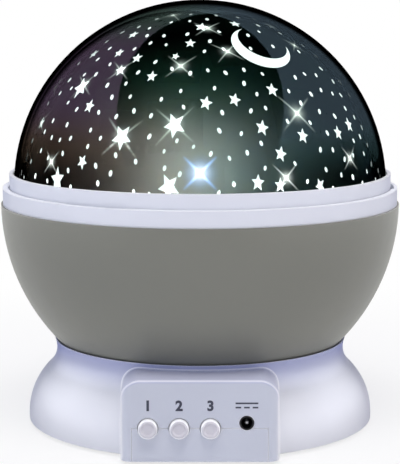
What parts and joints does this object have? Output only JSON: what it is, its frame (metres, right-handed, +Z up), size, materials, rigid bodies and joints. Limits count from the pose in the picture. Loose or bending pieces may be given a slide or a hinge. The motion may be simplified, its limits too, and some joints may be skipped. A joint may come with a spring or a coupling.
{
  "type": "star night light projector",
  "caption": "Ball-shaped night light: a smoked star dome and two rings on a bowl that turns on a flared round base with push buttons and a power socket.",
  "frame": {"origin": "on the floor, under the middle of the ball", "axes": "+Z up along the ball's axis; the control panel faces -Y, so +X is to its right"},
  "size_m": [0.13, 0.13, 0.1378],
  "materials": {
    "base_plastic": "white ABS, satin gloss",
    "ring_plastic": "white ABS, satin gloss",
    "bowl_plastic": "grey ABS, satin gloss",
    "smoked_plastic": "polished smoked acrylic, see-through",
    "printed_film": "clear film, printed dark but for the stars",
    "button_plastic": "white ABS",
    "white_plastic": "white moulding",
    "gear_plastic": "natural acetal",
    "foot_rubber": "soft black rubber",
    "steel": "zinc-plated",
    "motor_can": null,
    "brass": "turned",
    "contact_metal": "pressed",
    "cell_jacket": null,
    "circuit_board": "green solder mask",
    "lamp_board": "white solder mask",
    "black_plastic": "black moulding",
    "lens_warm": "clear epoxy",
    "lens_blue": "clear epoxy",
    "lens_green": "clear epoxy",
    "lens_red": "clear epoxy",
    "cable_white": "PVC sleeve",
    "cable_red": "PVC sleeve"
  },
  "bodies": {
    "base": {"base_shell": "base_plastic", "bottom_cover": "base_plastic", "rubber_feet": "foot_rubber", "base_screws": "steel", "chassis_plate": "white_plastic", "chassis_screws": "steel", "lamp_post": "white_plastic", "post_screws": "steel", "thrust_washer": "white_plastic", "retaining_clip": "steel", "led_holder": "white_plastic", "led_board": "lamp_board", "led_board_screws": "steel", "led_warm": "lens_warm", "led_blue": "lens_blue", "led_green": "lens_green", "led_red": "lens_red", "led_cable": "cable_white", "motor": "motor_can", "motor_screws": "steel", "motor_cable": "cable_red", "gear_axles": "steel", "control_board": "circuit_board", "board_parts": "black_plastic", "board_screws": "steel", "tact_switches": "black_plastic", "dc_jack": "black_plastic", "dc_jack_pin": "steel", "battery_cells": "cell_jacket", "battery_springs": "steel", "battery_contacts": "contact_metal", "battery_cable": "cable_red"},
    "ball": {"bowl": "bowl_plastic", "ring_gear": "gear_plastic", "ring_gear_screws": "steel", "rim_ring": "ring_plastic", "inner_deck": "white_plastic", "deck_screws": "steel"},
    "dome": {"star_dome": "smoked_plastic", "star_film": "printed_film"},
    "ring": {"lock_ring": "ring_plastic"},
    "motor_rotor": {"motor_shaft": "steel", "motor_pinion": "brass"},
    "gear_1": {"compound_gear_1": "gear_plastic"},
    "gear_2": {"compound_gear_2": "gear_plastic"},
    "key_1": {"button_1": "button_plastic", "switch_plunger_1": "white_plastic"},
    "key_2": {"button_2": "button_plastic", "switch_plunger_2": "white_plastic"},
    "key_3": {"button_3": "button_plastic", "switch_plunger_3": "white_plastic"},
    "door": {"battery_door": "base_plastic"}
  },
  "joints": [
    {"name": "ball_spin", "type": "hinge", "parent": "base", "child": "ball", "pos_m": [0, 0, 0], "axis": [0, 0, 1], "continuous": true},
    {"name": "motor_spin", "type": "hinge", "parent": "base", "child": "motor_rotor", "pos_m": [0.00007, -0.02907, 0], "axis": [0, 0, 1], "continuous": true},
    {"name": "gear_1_spin", "type": "hinge", "parent": "base", "child": "gear_1", "pos_m": [0.01311, -0.02557, 0], "axis": [0, 0, 1], "continuous": true},
    {"name": "gear_2_spin", "type": "hinge", "parent": "base", "child": "gear_2", "pos_m": [0.01966, -0.01377, 0], "axis": [0, 0, 1], "continuous": true},
    {"name": "dome_lift", "type": "slide", "parent": "ball", "child": "dome", "axis": [0, 0, 1], "range_m": [0, 0.04]},
    {"name": "ring_twist", "type": "hinge", "parent": "dome", "child": "ring", "pos_m": [0, 0, 0.07365], "axis": [0, 0, 1], "range_deg": [-20, 0]},
    {"name": "battery_door_swing", "type": "hinge", "parent": "base", "child": "door", "pos_m": [0, 0.0344, 0.0019], "axis": [1, 0, 0], "range_deg": [0, 60]},
    {"name": "button_1_press", "type": "slide", "parent": "base", "child": "key_1", "axis": [0, 1, 0], "range_m": [0, 0.0005], "stiffness_N_per_m": 1000, "springref_m": -0.0002},
    {"name": "button_2_press", "type": "slide", "parent": "base", "child": "key_2", "axis": [0, 1, 0], "range_m": [0, 0.0005], "stiffness_N_per_m": 1000, "springref_m": -0.0002},
    {"name": "button_3_press", "type": "slide", "parent": "base", "child": "key_3", "axis": [0, 1, 0], "range_m": [0, 0.0005], "stiffness_N_per_m": 1000, "springref_m": -0.0002}
  ],
  "couplings": [
    {"joint": "gear_2_spin", "follows": "ball_spin", "ratio": 6},
    {"joint": "gear_1_spin", "follows": "ball_spin", "ratio": -21},
    {"joint": "motor_spin", "follows": "ball_spin", "ratio": 73.5}
  ]
}
